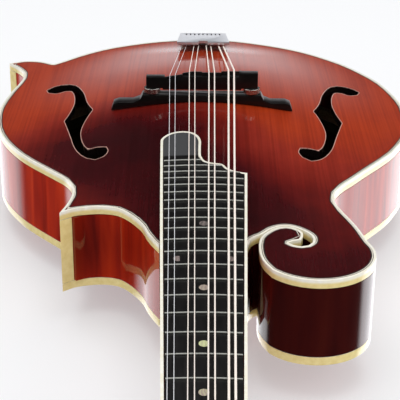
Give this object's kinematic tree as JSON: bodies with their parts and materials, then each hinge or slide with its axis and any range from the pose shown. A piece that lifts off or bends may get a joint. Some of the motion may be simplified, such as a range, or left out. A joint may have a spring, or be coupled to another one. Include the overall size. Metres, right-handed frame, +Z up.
{
  "type": "mandola",
  "caption": "Fretted string instrument with a carved top and back, a scroll, two points, f-holes, a floating bridge and paired strings on geared tuners.",
  "frame": {"origin": "middle of the bounding box's footprint, on the surface that the back and the tip of the headstock rest on", "axes": "+Y along the instrument from the headstock to the tail, +X towards the bass side with the scroll, +Z up out of the top"},
  "size_m": [0.2866, 0.8014, 0.1014],
  "materials": {
    "sunburst_spruce": "gloss lacquer, dark red edge to orange-red middle",
    "flamed_maple": "gloss lacquer, orange-red over flamed grain",
    "bare_maple": "bare wood",
    "bare_spruce": "bare wood",
    "ivoroid": "cream, polished",
    "ebony": "black, satin",
    "black_gloss": "black, gloss lacquer",
    "bone": "pale cream, satin",
    "nickel": "nickel plate",
    "chrome": "mirror plate",
    "steel": "bare steel",
    "plain_string": "plain steel wire",
    "wound_string": "bronze winding",
    "pearl": "pale pearl"
  },
  "bodies": {
    "instrument": {"top_plate": "sunburst_spruce", "back_plate": "flamed_maple", "sides": "flamed_maple", "neck_block": "bare_maple", "tail_block": "bare_maple", "upper_point_block": "bare_maple", "lower_point_block": "bare_maple", "top_lining_treble": "bare_spruce", "top_lining_bass": "bare_spruce", "back_lining_treble": "bare_spruce", "back_lining_bass": "bare_spruce", "tone_bar_treble": "bare_spruce", "tone_bar_bass": "bare_spruce", "top_binding": "ivoroid", "back_binding": "ivoroid", "upper_point_protector": "ivoroid", "lower_point_protector": "ivoroid", "neck": "flamed_maple", "truss_rod": "steel", "truss_rod_cover": "black_gloss", "heel_cap": "ivoroid", "head_overlay": "black_gloss", "nut": "bone", "fingerboard": "ebony", "fingerboard_binding": "ivoroid", "fingerboard_support": "flamed_maple", "bridge_base": "ebony", "bridge_post_treble": "nickel", "bridge_post_bass": "nickel", "tailpiece": "chrome", "end_button": "ebony", "tuner_plate_treble": "nickel", "tuner_plate_bass": "nickel", "string_1": "plain_string", "string_2": "plain_string", "string_3": "wound_string", "string_4": "wound_string", "string_5": "wound_string", "string_6": "wound_string", "string_7": "wound_string", "string_8": "wound_string"},
    "saddle": {"bridge_saddle": "ebony"},
    "wheel_treble": {"thumbwheel_treble": "nickel"},
    "wheel_bass": {"thumbwheel_bass": "nickel"},
    "knob_treble_1": {"tuner_knob_treble_1": "pearl"},
    "knob_treble_2": {"tuner_knob_treble_2": "pearl"},
    "knob_treble_3": {"tuner_knob_treble_3": "pearl"},
    "knob_treble_4": {"tuner_knob_treble_4": "pearl"},
    "knob_bass_1": {"tuner_knob_bass_1": "pearl"},
    "knob_bass_2": {"tuner_knob_bass_2": "pearl"},
    "knob_bass_3": {"tuner_knob_bass_3": "pearl"},
    "knob_bass_4": {"tuner_knob_bass_4": "pearl"},
    "post_treble_1": {"string_post_treble_1": "nickel"},
    "post_treble_2": {"string_post_treble_2": "nickel"},
    "post_treble_3": {"string_post_treble_3": "nickel"},
    "post_treble_4": {"string_post_treble_4": "nickel"},
    "post_bass_1": {"string_post_bass_1": "nickel"},
    "post_bass_2": {"string_post_bass_2": "nickel"},
    "post_bass_3": {"string_post_bass_3": "nickel"},
    "post_bass_4": {"string_post_bass_4": "nickel"}
  },
  "joints": [
    {"name": "thumbwheel_treble_spin", "type": "hinge", "parent": "saddle", "child": "wheel_treble", "pos_m": [-0.03027, 0.21208, 0.08745], "axis": [0, 0.0329, 0.9995], "range_deg": [-137, 1140]},
    {"name": "thumbwheel_bass_spin", "type": "hinge", "parent": "saddle", "child": "wheel_bass", "pos_m": [0.03653, 0.21208, 0.08745], "axis": [0, 0.0329, 0.9995], "range_deg": [-137, 1140]},
    {"name": "saddle_rise", "type": "slide", "parent": "instrument", "child": "saddle", "axis": [0, 0.0329, 0.9995], "range_m": [-0.0003, 0.0025], "deforming": ["string_1", "string_2", "string_3", "string_4", "string_5", "string_6", "string_7", "string_8"]},
    {"name": "tuner_knob_treble_1_spin", "type": "hinge", "parent": "instrument", "child": "knob_treble_1", "pos_m": [0.00413, -0.25434, 0.03846], "axis": [1, 0, 0], "continuous": true},
    {"name": "string_post_treble_1_spin", "type": "hinge", "parent": "instrument", "child": "post_treble_1", "pos_m": [-0.01687, -0.26636, 0.05382], "axis": [0, -0.2926, 0.9562], "continuous": true},
    {"name": "tuner_knob_treble_2_spin", "type": "hinge", "parent": "instrument", "child": "knob_treble_2", "pos_m": [0.00413, -0.27729, 0.03144], "axis": [1, 0, 0], "continuous": true},
    {"name": "string_post_treble_2_spin", "type": "hinge", "parent": "instrument", "child": "post_treble_2", "pos_m": [-0.01687, -0.28931, 0.0468], "axis": [0, -0.2926, 0.9562], "continuous": true},
    {"name": "tuner_knob_treble_3_spin", "type": "hinge", "parent": "instrument", "child": "knob_treble_3", "pos_m": [0.00413, -0.30024, 0.02442], "axis": [1, 0, 0], "continuous": true},
    {"name": "string_post_treble_3_spin", "type": "hinge", "parent": "instrument", "child": "post_treble_3", "pos_m": [-0.01687, -0.31226, 0.03977], "axis": [0, -0.2926, 0.9562], "continuous": true},
    {"name": "tuner_knob_treble_4_spin", "type": "hinge", "parent": "instrument", "child": "knob_treble_4", "pos_m": [0.00413, -0.32319, 0.01739], "axis": [1, 0, 0], "continuous": true},
    {"name": "string_post_treble_4_spin", "type": "hinge", "parent": "instrument", "child": "post_treble_4", "pos_m": [-0.01687, -0.33521, 0.03275], "axis": [0, -0.2926, 0.9562], "continuous": true},
    {"name": "tuner_knob_bass_1_spin", "type": "hinge", "parent": "instrument", "child": "knob_bass_1", "pos_m": [0.00413, -0.25434, 0.03846], "axis": [1, 0, 0], "continuous": true},
    {"name": "string_post_bass_1_spin", "type": "hinge", "parent": "instrument", "child": "post_bass_1", "pos_m": [0.02513, -0.26636, 0.05382], "axis": [0, -0.2926, 0.9562], "continuous": true},
    {"name": "tuner_knob_bass_2_spin", "type": "hinge", "parent": "instrument", "child": "knob_bass_2", "pos_m": [0.00413, -0.27729, 0.03144], "axis": [1, 0, 0], "continuous": true},
    {"name": "string_post_bass_2_spin", "type": "hinge", "parent": "instrument", "child": "post_bass_2", "pos_m": [0.02513, -0.28931, 0.0468], "axis": [0, -0.2926, 0.9562], "continuous": true},
    {"name": "tuner_knob_bass_3_spin", "type": "hinge", "parent": "instrument", "child": "knob_bass_3", "pos_m": [0.00413, -0.30024, 0.02442], "axis": [1, 0, 0], "continuous": true},
    {"name": "string_post_bass_3_spin", "type": "hinge", "parent": "instrument", "child": "post_bass_3", "pos_m": [0.02513, -0.31226, 0.03977], "axis": [0, -0.2926, 0.9562], "continuous": true},
    {"name": "tuner_knob_bass_4_spin", "type": "hinge", "parent": "instrument", "child": "knob_bass_4", "pos_m": [0.00413, -0.32319, 0.01739], "axis": [1, 0, 0], "continuous": true},
    {"name": "string_post_bass_4_spin", "type": "hinge", "parent": "instrument", "child": "post_bass_4", "pos_m": [0.02513, -0.33521, 0.03275], "axis": [0, -0.2926, 0.9562], "continuous": true}
  ],
  "couplings": [
    {"joint": "thumbwheel_treble_spin", "follows": "saddle_rise", "rad_per_m": 7953.6},
    {"joint": "thumbwheel_bass_spin", "follows": "saddle_rise", "rad_per_m": 7953.6},
    {"joint": "string_post_treble_1_spin", "follows": "tuner_knob_treble_1_spin", "ratio": 0.083333},
    {"joint": "string_post_treble_2_spin", "follows": "tuner_knob_treble_2_spin", "ratio": 0.083333},
    {"joint": "string_post_treble_3_spin", "follows": "tuner_knob_treble_3_spin", "ratio": 0.083333},
    {"joint": "string_post_treble_4_spin", "follows": "tuner_knob_treble_4_spin", "ratio": 0.083333},
    {"joint": "string_post_bass_1_spin", "follows": "tuner_knob_bass_1_spin", "ratio": 0.083333},
    {"joint": "string_post_bass_2_spin", "follows": "tuner_knob_bass_2_spin", "ratio": 0.083333},
    {"joint": "string_post_bass_3_spin", "follows": "tuner_knob_bass_3_spin", "ratio": 0.083333},
    {"joint": "string_post_bass_4_spin", "follows": "tuner_knob_bass_4_spin", "ratio": 0.083333}
  ]
}
